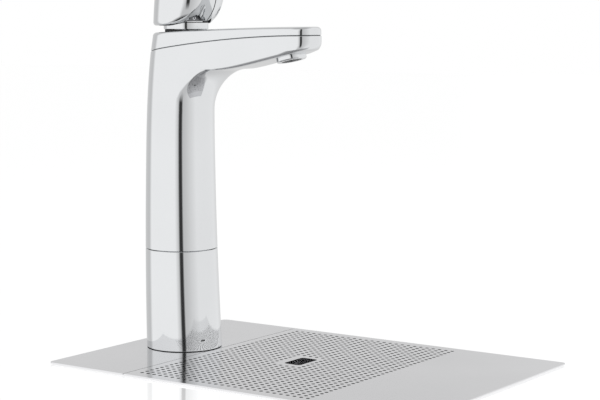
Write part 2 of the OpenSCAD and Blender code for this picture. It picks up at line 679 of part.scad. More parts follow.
pocket_r = 20.8;
pocket_z = axle_z - 3.7;
rib_x = 9.75;       // rib that presses the switch
rib_s = 14;
rib_size = [2.5, 4, 40];
module lever(x) {
    keep = lever_split / 2;
    low = barrel_low - 15;
    difference() {
        intersection() {
            above_plate() skin(barrel_rings);
            translate([x > 0 ? keep : -60 - keep, -60, low]) cube([60, 120, 120]);
        }
        lever_underside(x);
        above_plate() ahead(head_s) translate([0, 0, low]) cylinder(r = pocket_r, h = pocket_z - low);
        difference() {
            above_plate() translate([x > 0 ? -1 : -pocket_x, -22, low])
                cube([pocket_x + 1, 36, block_top + 3 - low]);
            at_axle() translate([0, 0, x > 0 ? hub_x : -pocket_x - 1])
                cylinder(r = hub_r, h = pocket_x - hub_x + 1);
            above_plate() translate([x * rib_x - rib_size[0] / 2, -rib_s - rib_size[1], axle_z + 2.2])
                cube(rib_size);
        }
        at_axle() translate([0, 0, x > 0 ? 0 : -axle_x - 0.8]) cylinder(d = axle_d + 2 * run, h = axle_x + 0.8);
        at_disc(x) translate([0, 0, -disc_t]) cylinder(r = disc_d / 2 + fit, h = 10);
    }
}
module hot_lever() { color(chrome) lever(-1); }
module cold_lever() { color(chrome) lever(1); }
module indicator(x) { at_disc(x) translate([0, 0, -disc_t]) cylinder(r = disc_d / 2, h = disc_t + 0.2); }
module hot_indicator() { color([0.78, 0.08, 0.08]) indicator(-1); }
module cold_indicator() { color([0.10, 0.25, 0.70]) indicator(1); }

// Return spring: one helix of wire round the lever's hub.
wire_d = 0.8;
coil_r = hub_r + 0.4 + wire_d / 2;
coil_turns = 4;
coil_x = 4.6;
coil_steps = 10;
function coil_ring(i) = let (a = 360 * i / coil_steps, n = coil_turns * coil_steps,
    mid = [coil_r * cos(a), coil_r * sin(a), coil_x * i / n])
    [for (j = [0:5]) let (b = 60 * j) mid + wire_d / 2 * [cos(a) * cos(b), sin(a) * cos(b), sin(b)]];
module wire(rings) {
    m = 6;
    n = len(rings);
    polyhedron(points = [for (r = rings) each r], faces = concat(
        [for (k = [0:n - 2]) for (i = [0:m - 1]) let (j = (i + 1) % m)
            each [[k * m + i, k * m + j, (k + 1) * m + j], [k * m + i, (k + 1) * m + j, (k + 1) * m + i]]],
        [for (i = [1:m - 2]) [0, i + 1, i]],
        [for (i = [1:m - 2]) [(n - 1) * m, (n - 1) * m + i, (n - 1) * m + i + 1]]), convexity = 8);
}
module spring(x) {
    at_axle() translate([0, 0, x > 0 ? hub_x + 0.6 : -hub_x - 0.6 - coil_x])
        wire([for (i = [0:coil_turns * coil_steps]) coil_ring(i)]);
}
module hot_spring() { color(steel) spring(-1); }
module cold_spring() { color(steel) spring(1); }

switch_size = [5.2, 6.4, 6];
switch_s = 12.8;
switch_x = 7.1;
module micro_switch(x) {
    above_plate() translate([x > 0 ? switch_x : -switch_x - switch_size[0], -switch_s - switch_size[1],
        base_z + base_h]) difference() {
        union() {
            cube(switch_size);
            translate([switch_size[0] / 2, switch_size[1] / 2, 0]) cylinder(r = 1, h = switch_size[2] + 0.7);
        }
        translate([-1, switch_size[1] - 1.6, 2.4]) rotate([0, 90, 0]) cylinder(r = 0.8 + fit, h = 9);
    }
}
module hot_switch() { color(plastic) micro_switch(-1); }
module cold_switch() { color(plastic) micro_switch(1); }
module switch_screws() {
    color(steel) for (x = [-1, 1]) above_plate()
        translate([x > 0 ? block_x + 0.1 : -switch_x - switch_size[0] - 0.4, -switch_s - 1.6,
            base_z + base_h + 2.4]) rotate([0, 90, 0]) cylinder(r = 0.8, h = switch_x + switch_size[0] + 0.3 - block_x);
}

// ---- outlet ----
ring_bore = 8;
ring_top = 5.4;
shoulder_gap = 0.02;
groove_z = 2;
groove_r = 0.7;
seal_wire = 0.75;
insert_low = 0.8;
insert_top = 5;
manifold_h = 8.9;
chamber_r = 7.2;
module nozzle_ring() {
    color(chrome) at_nozzle() difference() {
        rotate_extrude() polygon([[ring_bore, -nozzle_h], [nozzle_d / 2 - 0.8, -nozzle_h],
            [nozzle_d / 2, -nozzle_h + 0.8], [nozzle_d / 2, -shoulder_gap], [spigot_r, -shoulder_gap],
            [spigot_r, ring_top], [ring_bore, ring_top]]);
        translate([0, 0, groove_z]) rotate_extrude() translate([spigot_r, 0]) circle(r = groove_r);
    }
}
module nozzle_seal() {
    color(rubber) at_nozzle() translate([0, 0, groove_z]) rotate_extrude()
        translate([spigot_r + fit - seal_wire / 2 - 0.02, 0]) circle(d = seal_wire);
}
module nozzle_insert() {
    color(plastic) at_nozzle() translate([0, 0, -nozzle_h + insert_low]) difference() {
        cylinder(r = ring_bore - fit, h = insert_top + nozzle_h - insert_low);
        for (i = [0:5]) rotate(60 * i) translate([2.4, 0, -1]) cylinder(r = 0.8, h = 30);
        for (i = [0:11]) rotate(30 * i + 15) translate([5.2, 0, -1]) cylinder(r = 0.8, h = 30);
        translate([0, 0, -1]) cylinder(r = 0.8, h = 30);
    }
}
module outlet_manifold() {
    color(plastic) difference() {
        at_nozzle() difference() {
            union() {
                translate([-channel_w / 2 + 0.5, -channel_front + 1, channel_floor])
                    cube([channel_w - 1, channel_front + manifold_rear - 1, manifold_h - 2.2]);
                translate([-channel_w / 2 + 0.5, 0, channel_floor])
                    cube([channel_w - 1, manifold_rear, manifold_h]);
            }
            translate([0, 0, channel_floor - 1]) cylinder(r = spigot_r + fit, h = ring_top - channel_floor + 1 + fit);
            translate([0, 0, channel_floor]) cylinder(r = chamber_r, h = tube_up - channel_floor + 1);
        }
        for (t = [[hot_at, hot_tube_d], [cold_at, cold_tube_d], [vent_at, vent_tube_d]])
            at_nozzle() translate([t[0][0], manifold_rear - 8.1, tube_up]) rotate([-90, 0, 0])
                cylinder(r = t[1] / 2 + fit, h = 20);
    }
}

drip_tray();
rear_plate();
grille_cover();
cover_feet();
drain_strainer();
drain_seal();
drain_nut();
base_gasket();
threaded_shank();
deck_washer();
clamp_washer();
lock_nut();
tube_grommet();
riser();
joining_sleeve();
sleeve_screws();
tube_spacer();
column_body();
head_bracket();
bracket_screws();
head_stem();
top_cover();
neck_seal();
neck_collar();
pivot_block();
pivot_grub_screw();
lever_axle();
pivot_washers();
hot_lever();
cold_lever();
hot_indicator();
cold_indicator();
hot_spring();
cold_spring();
hot_switch();
cold_switch();
switch_screws();
hot_tube();
cold_tube();
vent_tube();
outlet_manifold();
nozzle_ring();
nozzle_insert();
nozzle_seal();
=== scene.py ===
import json
import math

import bmesh
import bpy
from mathutils import Matrix, Vector


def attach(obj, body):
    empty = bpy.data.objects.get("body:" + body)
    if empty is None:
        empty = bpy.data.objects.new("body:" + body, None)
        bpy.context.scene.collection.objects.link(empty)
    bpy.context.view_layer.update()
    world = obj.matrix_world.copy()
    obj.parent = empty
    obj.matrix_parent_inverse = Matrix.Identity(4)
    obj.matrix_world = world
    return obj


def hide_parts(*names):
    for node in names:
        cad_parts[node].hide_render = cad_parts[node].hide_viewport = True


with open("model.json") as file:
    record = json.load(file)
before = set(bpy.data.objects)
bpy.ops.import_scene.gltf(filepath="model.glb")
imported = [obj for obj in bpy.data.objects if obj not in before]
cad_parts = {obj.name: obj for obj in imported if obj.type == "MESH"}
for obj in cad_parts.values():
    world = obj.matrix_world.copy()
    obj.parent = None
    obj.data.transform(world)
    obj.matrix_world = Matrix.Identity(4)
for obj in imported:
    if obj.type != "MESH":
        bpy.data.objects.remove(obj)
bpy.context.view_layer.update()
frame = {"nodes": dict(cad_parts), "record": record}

bl_info = {
    "name": "Boiling water tap finishes",
    "version": (1, 0, 0),
    "blender": (4, 5, 0),
    "location": "3D View > Sidebar > Tap",
    "description": "Smooth chrome forms, thread turns and finishes for a boiling water tap on a drip plate",
    "category": "Object",
}

MM = 0.001
PLATE_TOP = 1.6  # the heights of the tap's forms count from the plate's upper face


# ---------------------------------------------------------------- sizes and colours
class TapForm(bpy.types.PropertyGroup):
    """Sizes of the tap's outer forms, in millimetres above the plate, as in the part's source"""
    foot_r: bpy.props.FloatProperty(name="Foot radius", description="Radius of the column at its foot",
                                    default=31.2)
    taper: bpy.props.FloatProperty(name="Taper", description="Loss of radius per unit of height",
                                   default=0.0181, precision=4)
    riser_h: bpy.props.FloatProperty(name="Riser height",
                                     description="Height of the joint between riser and body", default=82.0)
    bore_r: bpy.props.FloatProperty(name="Bore radius", description="Radius of the hollow in the column",
                                    default=21.5)
    joint_line: bpy.props.FloatProperty(name="Joint line", description="Gap of a visible joint line",
                                        default=0.5)
    tip_reach: bpy.props.FloatProperty(name="Spout reach",
                                       description="Axis to the centre of the spout's round end",
                                       default=118.4)
    tip_r: bpy.props.FloatProperty(name="End radius", description="Radius of the spout's round end",
                                   default=16.5)
    under_h: bpy.props.FloatProperty(name="Underside height",
                                     description="Height of the underside beside the column", default=229.0)
    under_slope: bpy.props.FloatProperty(name="Underside slope",
                                         description="Rise of the underside towards the end", default=0.238,
                                         precision=3)
    nozzle_reach: bpy.props.FloatProperty(name="Nozzle reach", description="Axis to the nozzle",
                                          default=109.4)
    nozzle_r: bpy.props.FloatProperty(name="Nozzle radius",
                                      description="Radius of the hole for the nozzle ring", default=9.9)
    lever_edge_h: bpy.props.FloatProperty(name="Lever edge height",
                                          description="Height of the levers' upper edge", default=308.0)
    lever_split: bpy.props.FloatProperty(name="Lever gap", description="Gap between the two levers",
                                         default=1.0)
    edge_ease: bpy.props.FloatProperty(name="Edge ease",
                                       description="Small chamfer along the visible joint lines",
                                       default=0.35)


class TapFinish(bpy.types.PropertyGroup):
    """Colours of the tap's materials"""
    chrome: bpy.props.FloatVectorProperty(name="Chrome", description="Colour of the polished chrome",
                                          subtype="COLOR", size=3, default=(0.66, 0.67, 0.68), min=0, max=1)
    sheet: bpy.props.FloatVectorProperty(name="Sheet steel", description="Colour of the plate and tray",
                                         subtype="COLOR", size=3, default=(0.70, 0.70, 0.713), min=0, max=1)
    steel: bpy.props.FloatVectorProperty(name="Steel", description="Colour of the small steel parts",
                                         subtype="COLOR", size=3, default=(0.52, 0.53, 0.55), min=0, max=1)
    brass: bpy.props.FloatVectorProperty(name="Brass", description="Colour of the brass parts",
                                         subtype="COLOR", size=3, default=(0.78, 0.60, 0.30), min=0, max=1)
    rubber: bpy.props.FloatVectorProperty(name="Rubber", description="Colour of seals and feet",
                                          subtype="COLOR", size=3, default=(0.018, 0.018, 0.020), min=0,
                                          max=1)
    plastic: bpy.props.FloatVectorProperty(name="Plastic", description="Colour of the dark mouldings",
                                           subtype="COLOR", size=3, default=(0.035, 0.037, 0.042), min=0,
                                           max=1)
    tube: bpy.props.FloatVectorProperty(name="Tube", description="Colour of the water tubes",
                                        subtype="COLOR", size=3, default=(0.70, 0.72, 0.69), min=0, max=1)
    hot: bpy.props.FloatVectorProperty(name="Hot disc", description="Colour of the disc on the boiling side",
                                       subtype="COLOR", size=3, default=(0.60, 0.012, 0.014), min=0, max=1)
    cold: bpy.props.FloatVectorProperty(name="Cold disc",
                                        description="Colour of the disc on the chilled side",
                                        subtype="COLOR", size=3, default=(0.012, 0.06, 0.42), min=0, max=1)


class TapStage(bpy.types.PropertyGroup):
    """The camera and the studio round the tap"""
    eye: bpy.props.FloatVectorProperty(name="Camera", description="Place of the camera",
                                       subtype="TRANSLATION", unit="LENGTH", size=3,
                                       default=(-1.0863, -0.8713, 0.2745))
    aim: bpy.props.FloatVectorProperty(name="Aim", description="Direction of view", subtype="DIRECTION",
                                       size=3, default=(0.8169, 0.5665, -0.1083))
    lens: bpy.props.FloatProperty(name="Lens", description="Focal length for a 36 mm sensor", default=101.52,
                                  min=10)
    key_power: bpy.props.FloatProperty(name="Key power", description="Power of the large soft lamp",
                                       subtype="POWER", default=9.0, min=0)
    fill_level: bpy.props.FloatProperty(name="Fill level",
                                        description="Level of the soft light from all round", default=0.62,
                                        min=0)


# ---------------------------------------------------------------- node helpers
def new_material(name):
    material = bpy.data.materials.new(name)
    material.use_nodes = True
    tree = material.node_tree
    shader = next(n for n in tree.nodes if n.type == "BSDF_PRINCIPLED")
    return material, tree, shader


def grain(tree, scale, stretch=(1, 1, 1), detail=3.0, rough=0.55, distort=0.0):
    """Noise in object space, stretched along the axes"""
    place = tree.nodes.new("ShaderNodeTexCoord")
    mapping = tree.nodes.new("ShaderNodeMapping")
    mapping.inputs["Scale"].default_value = stretch
    noise = tree.nodes.new("ShaderNodeTexNoise")
    noise.inputs["Scale"].default_value = scale
    noise.inputs["Detail"].default_value = detail
    noise.inputs["Roughness"].default_value = rough
    noise.inputs["Distortion"].default_value = distort
    tree.links.new(place.outputs["Object"], mapping.inputs["Vector"])
    tree.links.new(mapping.outputs["Vector"], noise.inputs["Vector"])
    return noise.outputs["Fac"]


def spread(tree, value, low, high, start=0.3, end=0.7):
    node = tree.nodes.new("ShaderNodeMapRange")
    node.inputs["From Min"].default_value = start
    node.inputs["From Max"].default_value = end
    node.inputs["To Min"].default_value = low
    node.inputs["To Max"].default_value = high
    tree.links.new(value, node.inputs["Value"])
    return node.outputs["Result"]


def blend_colours(tree, value, low, high, start=0.3, end=0.7):
    ramp = tree.nodes.new("ShaderNodeValToRGB")
    ramp.color_ramp.elements[0].position = start
    ramp.color_ramp.elements[0].color = (*low, 1)
    ramp.color_ramp.elements[1].position = end
    ramp.color_ramp.elements[1].color = (*high, 1)
    tree.links.new(value, ramp.inputs["Fac"])
    return ramp.outputs["Color"]


def bump(tree, shader, height, strength, distance):
    node = tree.nodes.new("ShaderNodeBump")
    node.inputs["Strength"].default_value = strength
    node.inputs["Distance"].default_value = distance
    tree.links.new(height, node.inputs["Height"])
    tree.links.new(node.outputs["Normal"], shader.inputs["Normal"])


def shade(colour, k):
    return tuple(max(0.0, min(1.0, c * k)) for c in colour)


# ---------------------------------------------------------------- finishes
def polished_chrome(colour):
    material, tree, shader = new_material("polished_chrome")
    shader.inputs["Metallic"].default_value = 1
    cloud = grain(tree, 14, detail=4)
    wipe = grain(tree, 60, stretch=(1, 1, 0.25), detail=5, rough=0.6)
    tree.links.new(blend_colours(tree, cloud, shade(colour, 0.985), shade(colour, 1.015)),
                   shader.inputs["Base Color"])
    tree.links.new(spread(tree, wipe, 0.035, 0.075), shader.inputs["Roughness"])
    bump(tree, shader, grain(tree, 22, detail=1), 0.05, 0.0004)
    return material


def plate_steel(colour):
    material, tree, shader = new_material("fine_satin_sheet")
    shader.inputs["Metallic"].default_value = 1
    streak = grain(tree, 160, stretch=(6, 0.12, 1), detail=4, rough=0.6)
    cloud = grain(tree, 9, detail=3)
    tree.links.new(blend_colours(tree, cloud, shade(colour, 0.97), shade(colour, 1.03)),
                   shader.inputs["Base Color"])
    tree.links.new(spread(tree, streak, 0.09, 0.15), shader.inputs["Roughness"])
    bump(tree, shader, streak, 0.03, 0.0002)
    return material


def turned_steel(colour):
    material, tree, shader = new_material("turned_steel")
    shader.inputs["Metallic"].default_value = 1
    rings = grain(tree, 300, stretch=(0.3, 0.3, 6), detail=3)
    cloud = grain(tree, 40, detail=3)
    tree.links.new(blend_colours(tree, cloud, shade(colour, 0.9), shade(colour, 1.08)),
                   shader.inputs["Base Color"])
    tree.links.new(spread(tree, rings, 0.2, 0.34), shader.inputs["Roughness"])
    bump(tree, shader, rings, 0.08, 0.0002)
    return material


def cast_metal_with_painted_shade(colour):
    """Darkened metal for the pivot block, the inside of the levers and their downward faces: partly the unpolished
    cast surface, partly painted shade under the levers
    """
    material, tree, shader = new_material("cast_inside_painted_shade")
    shader.inputs["Metallic"].default_value = 1
    stain = grain(tree, 70, detail=5, rough=0.65)
    tree.links.new(blend_colours(tree, stain, shade(colour, 0.40), shade(colour, 0.56)),
                   shader.inputs["Base Color"])
    tree.links.new(spread(tree, stain, 0.42, 0.58), shader.inputs["Roughness"])
    bump(tree, shader, grain(tree, 700, detail=3), 0.2, 0.0003)
    return material


def machined_brass(colour):
    material, tree, shader = new_material("machined_brass")
    shader.inputs["Metallic"].default_value = 1
    rings = grain(tree, 260, stretch=(0.4, 0.4, 5), detail=3)
    stain = grain(tree, 30, detail=5, rough=0.65)
    tree.links.new(blend_colours(tree, stain, shade(colour, 0.82), shade(colour, 1.05)),
                   shader.inputs["Base Color"])
    tree.links.new(spread(tree, stain, 0.22, 0.4), shader.inputs["Roughness"])
    bump(tree, shader, rings, 0.1, 0.0003)
    return material


def sealing_rubber(colour):
    material, tree, shader = new_material("sealing_rubber")
    dust = grain(tree, 90, detail=6, rough=0.7)
    tree.links.new(blend_colours(tree, dust, shade(colour, 0.8), shade(colour, 2.0), 0.35, 0.75),
                   shader.inputs["Base Color"])
    tree.links.new(spread(tree, dust, 0.62, 0.8), shader.inputs["Roughness"])
    bump(tree, shader, grain(tree, 900, detail=2), 0.15, 0.0002)
    return material


def moulded_plastic(name, colour, low=0.34, high=0.46):
    material, tree, shader = new_material(name)
    cloud = grain(tree, 50, detail=4)
    tree.links.new(blend_colours(tree, cloud, shade(colour, 0.9), shade(colour, 1.15)),
                   shader.inputs["Base Color"])
    tree.links.new(spread(tree, grain(tree, 240, detail=3), low, high), shader.inputs["Roughness"])
    bump(tree, shader, grain(tree, 1400, detail=2), 0.12, 0.0001)
    return material


def milky_tube(colour):
    material, tree, shader = new_material("milky_tube")
    cloud = grain(tree, 45, stretch=(1, 1, 0.3), detail=4)
    tree.links.new(blend_colours(tree, cloud, shade(colour, 0.92), shade(colour, 1.06)),
                   shader.inputs["Base Color"])
    tree.links.new(spread(tree, cloud, 0.3, 0.42), shader.inputs["Roughness"])
    bump(tree, shader, grain(tree, 500, detail=2), 0.06, 0.0001)
    shader.inputs["Subsurface Weight"].default_value = 0.15
    shader.inputs["Subsurface Radius"].default_value = (0.002, 0.002, 0.0018)
    return material


def glossy_disc(name, colour):
    material, tree, shader = new_material(name)
    cloud = grain(tree, 120, detail=3)
    tree.links.new(blend_colours(tree, cloud, shade(colour, 0.94), shade(colour, 1.06)),
                   shader.inputs["Base Color"])
    tree.links.new(spread(tree, cloud, 0.1, 0.16), shader.inputs["Roughness"])
    shader.inputs["Coat Weight"].default_value = 0.6
    shader.inputs["Coat Roughness"].default_value = 0.05
    return material


FINISHES = {}


def finish_of(slot):
    """The material of one slot of the record, made on its first use"""
    if slot not in FINISHES:
        colours = bpy.context.scene.tap_finish
        makers = {
            "chrome": lambda: polished_chrome(colours.chrome),
            "satin_steel": lambda: plate_steel(colours.sheet),
            "steel": lambda: turned_steel(colours.steel),
            # The darkened cast finish is partly painted shade under the levers.
            "cast_and_painted_shade": lambda: cast_metal_with_painted_shade(colours.steel),
            "brass": lambda: machined_brass(colours.brass),
            "rubber": lambda: sealing_rubber(colours.rubber),
            "plastic": lambda: moulded_plastic("dark_moulding", colours.plastic),
            "tube_plastic": lambda: milky_tube(colours.tube),
            "red_disc": lambda: glossy_disc("red_disc", colours.hot),
            "blue_disc": lambda: glossy_disc("blue_disc", colours.cold),
        }
        FINISHES[slot] = makers[slot]()
    return FINISHES[slot]


def give_finish(obj, slot):
    obj.data.materials.clear()
    obj.data.materials.append(finish_of(slot))


# ---------------------------------------------------------------- the tap's outer form
# Heights are above the plate; s is the distance forward of the tap's axis (y = -s).
WAIST, LEAN_BACK, FOOT_FWD, HEAD_FWD = 132.0, -1.75, 2.75, 2.76
SEAM_H, SEAM_DROP, TOP_H, TOP_DROP = 257.4, 14.2, 264.4, 5.2
REAR_S, FRONT_S = -20.6, 131.0
KNEE, KNEE_SOFT = 58.0, 8.0
FILLET_LOW, FILLET_OUT = 197.0, 32.0
TIP_ROUND, ARRIS_X, ARRIS_S = 5.5, 4.5, 26.0
CAMBER, COVER_EDGE, COVER_INSET = 0.8, 3.0, 0.25
SEAL_INSET = 0.9  # the dark seal in the lid's joint line lies this far in
HEAD_S = 5.0
ARC_N, SIDE_N, CORNER_N, CHORD_N = 44, 22, 8, 8


class Form:
    """The column and spout as rings of points, all from the sizes of TapForm"""

    def __init__(self, sizes):
        self.z = sizes
        self.under_start = self.c(FILLET_LOW) + self.r(FILLET_LOW) + FILLET_OUT
        self.fillet_high = self.under(self.under_start)
        self.seam_rear = self.lean_z(REAR_S, 1)
        self.tip_end = sizes.tip_reach + sizes.tip_r
        c, r = self.c(self.seam_rear), self.r(self.seam_rear)
        self.tip_side = sizes.tip_reach + sizes.tip_r * math.cos(self.side_a(c, r, sizes.tip_r))

    def r(self, z):
        return self.z.foot_r - self.z.taper * z

    def c(self, z):
        if z < WAIST:
            return LEAN_BACK + FOOT_FWD * ((WAIST - z) / WAIST) ** 2
        return LEAN_BACK + HEAD_FWD * ((z - WAIST) / 100) ** 3.4

    @staticmethod
    def sweep(s):
        return (max(0.0, FRONT_S - s) / (FRONT_S - REAR_S)) ** 1.85

    def seam(self, s):
        return SEAM_H - SEAM_DROP * self.sweep(s)

    def top(self, s):
        return TOP_H - TOP_DROP * self.sweep(s)

    def under(self, s):
        rise = math.log1p(math.exp((s - KNEE) / KNEE_SOFT)) * KNEE_SOFT
        u = (s - self.z.tip_reach - self.z.tip_r + TIP_ROUND) / TIP_ROUND
        lift = 0 if u <= 0 else TIP_ROUND * (1 - math.sqrt(max(0.0, 1 - u * u)))
        return self.z.under_h + self.z.under_slope * rise + lift

    def side_a(self, c, r, t):
        return math.acos((r - t) / (self.z.tip_reach - c))

    def side_x(self, s, c, r, t):
        a = self.side_a(c, r, t)
        return r * math.sin(a) - (s - c - r * math.cos(a)) / math.tan(a)

    def rear_side(self, c, r, t, end):
        """From the rear, round the +X side and along it to s = end"""
        a = self.side_a(c, r, t)
        pts = []
        for i in range(ARC_N + 1):
            u = math.pi - (math.pi - a) * i / ARC_N
            pts.append((r * math.sin(u), c + r * math.cos(u)))
        s1 = c + r * math.cos(a)
        for i in range(1, SIDE_N + 1):
            s = s1 + (end - s1) * i / SIDE_N
            pts.append((self.side_x(s, c, r, t), s))
        return pts

    def clipped(self, c, r, t, sk, cx, cs):
        pts = self.rear_side(c, r, t, sk - cs)
        for i in range(1, CORNER_N + 1):
            u = math.pi / 2 * i / CORNER_N
            s = sk - cs + cs * math.sin(u)
            pts.append((self.side_x(s, c, r, t) - cx * (1 - math.cos(u)), s))
        end = self.side_x(sk, c, r, t) - cx
        return pts + [(end * (1 - i / CHORD_N), sk) for i in range(1, CHORD_N + 1)]

    def tip(self, c, r, t):
        a = self.side_a(c, r, t)
        pts = self.rear_side(c, r, t, self.z.tip_reach + t * math.cos(a))
        n = CORNER_N + CHORD_N
        for i in range(1, n + 1):
            u = a * (1 - i / n)
            pts.append((t * math.sin(u), self.z.tip_reach + t * math.cos(u)))
        return pts

    @staticmethod
    def rounded(c, r, pts):
        out = []
        for x, s in pts:
            d = math.hypot(x, s - c)
            out.append((x * r / d, c + (s - c) * r / d))
        return out

    @staticmethod
    def mixed(p, q, w):
        return [(a[0] * (1 - w) + b[0] * w, a[1] * (1 - w) + b[1] * w) for a, b in zip(p, q)]

    @staticmethod
    def ring(half, height):
        """A closed ring from its +X half: points in metres, at height(x, s)"""
        full = half + [(-x, s) for x, s in half[-2:0:-1]]
        return [Vector((x, -s, height(x, s) + PLATE_TOP)) * MM for x, s in full]

    def column_ring(self, z, trim=0.0):
        c, r = self.c(z), self.r(z) - trim
        return self.ring(self.rounded(c, r, self.clipped(c, r, self.z.tip_r, c + r, 4, 6)), lambda x, s: z)

    def fillet_ring(self, t):
        """A circle that widens round the column and stays within the spout's sides"""
        z = FILLET_LOW + (self.fillet_high - FILLET_LOW) * math.sin(math.pi / 2 * t)
        c, r = self.c(z), self.r(z)
        out = (self.under_start - c - r) * (1 - math.cos(math.pi / 2 * t))
        a = self.side_a(c, r, self.z.tip_r)
        sharp = 2 + 6 * t * t
        pts = []
        for x, s in self.clipped(c, r, self.z.tip_r, c + r + out, 4 + (ARRIS_X - 4) * t,
                                 6 + (ARRIS_S - 6) * t):
            u = math.atan2(x, s - c)
            side = r / math.cos(a - u) - r if u < a - 1e-6 else 0
            wide = side * out / (side ** sharp + out ** sharp) ** (1 / sharp) if side else 0
            pts.append(((r + wide) * math.sin(u), c + (r + wide) * math.cos(u)))
        return self.ring(pts, lambda x, s: z)

    def lean_z(self, s, v):
        return self.fillet_high + (self.seam(s) - self.fillet_high) * v

    def share(self, s):
        return (self.under(s) - self.fillet_high) / (self.seam(s) - self.fillet_high)

    def under_ring(self, sk):
        v = self.share(sk)
        z = self.lean_z(REAR_S, v)
        half = self.clipped(self.c(z), self.r(z), self.z.tip_r, sk, ARRIS_X, ARRIS_S)
        return self.ring(half, lambda x, s: self.lean_z(s, v))

    def tip_ring(self, w, top=0.0, inset=0.0, drop=0.0):
        c0, r0, t = self.c(self.seam_rear), self.r(self.seam_rear), self.z.tip_r
        st = self.tip_side
        v = max(top, self.share(st + (self.tip_end - st) * w))
        z = self.lean_z(REAR_S, v)
        c, r = self.c(z), self.r(z) - inset
        t -= inset
        half = self.mixed(self.clipped(c, r, t, st, ARRIS_X, ARRIS_S), self.tip(c, r, t), w)
        return self.ring(half, lambda x, s: self.lean_z(s, v) - drop)

    def cover_z(self, x, s, c, r, d):
        w = max(1.0, self.z.tip_r if s > self.tip_side else self.side_x(max(s, c), c, r, self.z.tip_r))
        drop = COVER_EDGE - math.sqrt(max(0.0,
                                          COVER_EDGE ** 2 - (COVER_EDGE - d) ** 2)) if d < COVER_EDGE else 0
        return self.top(s) - CAMBER * min(1.0, abs(x) / w) ** 2 - drop

    def cover_wall(self, v, inset, lift):
        z = self.seam_rear + (self.top(REAR_S) - COVER_EDGE - self.seam_rear) * v
        c, r, t = self.c(z), self.r(z) - inset, self.z.tip_r - inset
        return self.ring(self.tip(c, r, t),
                         lambda x, s: (self.seam(s) + lift) * (1 - v) + v * self.cover_z(x, s, c, r, 0))

    def cover_crown(self, d):
        z = self.top(REAR_S) - COVER_EDGE
        c, r, t = self.c(z), self.r(z) - COVER_INSET, self.z.tip_r - COVER_INSET
        return self.ring(self.tip(c, r - d, t - d), lambda x, s: self.cover_z(x, s, c, r, d))


# ---------------------------------------------------------------- mesh helpers
def new_object(name, mesh):
    obj = bpy.data.objects.new(name, mesh)
    bpy.context.scene.collection.objects.link(obj)
    return obj


def skin(name, rings):
    """A closed solid over rings of equal length, each symmetric about x = 0"""
    m, n = len(rings[0]), len(rings)
    h = m // 2
    faces = []
    for k in range(n - 1):
        for i in range(m):
            j = (i + 1) % m
            faces.append((k * m + i, k * m + j, (k + 1) * m + j, (k + 1) * m + i))
    top = (n - 1) * m
    for base, flip in ((0, True), (top, False)):
        for i in range(h):
            quad = [base + i, base + i + 1, base + m - i - 1, base + (m - i) % m]
            quad = list(dict.fromkeys(quad))
            faces.append(tuple(reversed(quad)) if flip else tuple(quad))
    mesh = bpy.data.meshes.new(name)
    mesh.from_pydata([p for r in rings for p in r], [], faces)
    bm = bmesh.new()
    bm.from_mesh(mesh)
    bmesh.ops.recalc_face_normals(bm, faces=bm.faces)
    bm.to_mesh(mesh)
    bm.free()
    return new_object(name, mesh)


def lathe(name, profile, sides, place=Matrix.Identity(4)):
    """A closed solid turned from (radius, height) points in millimetres, low to high"""
    bm = bmesh.new()
    rows = []
    for r, z in profile:
        rows.append([bm.verts.new(place @ (Vector((r * math.cos(a), r * math.sin(a), z)) * MM))
                     for a in (2 * math.pi * i / sides for i in range(sides))])
    for low, high in zip(rows, rows[1:]):
        for i in range(sides):
            j = (i + 1) % sides
            bm.faces.new((low[i], low[j], high[j], high[i]))
    bm.faces.new(list(reversed(rows[0])))
    bm.faces.new(rows[-1])
    bmesh.ops.recalc_face_normals(bm, faces=bm.faces)
    mesh = bpy.data.meshes.new(name)
    bm.to_mesh(mesh)
    bm.free()
    return new_object(name, mesh)


def rod(name, r, low, high, x=0.0, s=0.0, sides=96):
    return lathe(name, [(r, low), (r, high)], sides, Matrix.Translation(Vector((x, -s, PLATE_TOP)) * MM))


def cross_rod(name, r, x_low, x_high, s, z, sides=64):
    place = Matrix.Translation(Vector((0, -s, z + PLATE_TOP)) * MM) @ Matrix.Rotation(math.pi / 2, 4, "Y")
    return lathe(name, [(r, x_low), (r, x_high)], sides, place)


def block(name, low, high, place=Matrix.Identity(4)):
    """A box between two corners given in millimetres"""
    bm = bmesh.new()
    bmesh.ops.create_cube(bm, size=1)
    for v in bm.verts:
        v.co = place @ (Vector([(low[i] + high[i]) / 2
                                + v.co[i] * (high[i] - low[i]) for i in range(3)]) * MM)
    mesh = bpy.data.meshes.new(name)
    bm.to_mesh(mesh)
    bm.free()
    return new_object(name, mesh)


def hull_of(name, points):
    bm = bmesh.new()
    for p in points:
        bm.verts.new(p)
    made = bmesh.ops.convex_hull(bm, input=bm.verts)
    loose = list({e for e in made["geom_interior"]
                  + made["geom_unused"] if isinstance(e, bmesh.types.BMVert)})
    bmesh.ops.delete(bm, geom=loose, context="VERTS")
    bmesh.ops.recalc_face_normals(bm, faces=bm.faces)
    mesh = bpy.data.meshes.new(name)
    bm.to_mesh(mesh)
    bm.free()
    return new_object(name, mesh)


def carve(obj, cutters, operation="DIFFERENCE"):
    """Exact boolean with each cutter in turn; the cutters are used up"""
    for cutter in cutters:
        step = obj.modifiers.new("cut", "BOOLEAN")
        step.operation = operation
        step.solver = "EXACT"
        step.object = cutter
        made = bpy.data.meshes.new_from_object(obj.evaluated_get(bpy.context.evaluated_depsgraph_get()))
        obj.modifiers.remove(step)
        old, obj.data = obj.data, made
        bpy.data.meshes.remove(old)
        mesh = cutter.data
        bpy.data.objects.remove(cutter)
        bpy.data.meshes.remove(mesh)
    obj.data.name = obj.name
    return obj


def smooth(obj, degrees=32):
    for face in obj.data.polygons:
        face.use_smooth = True
    obj.data.set_sharp_from_angle(angle=math.radians(degrees))


def hand_over(obj, body, nodes, slot):
    """A finished piece rides on its body and stands for its CAD nodes"""
    give_finish(obj, slot)
    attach(obj, body)
    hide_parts(*nodes)


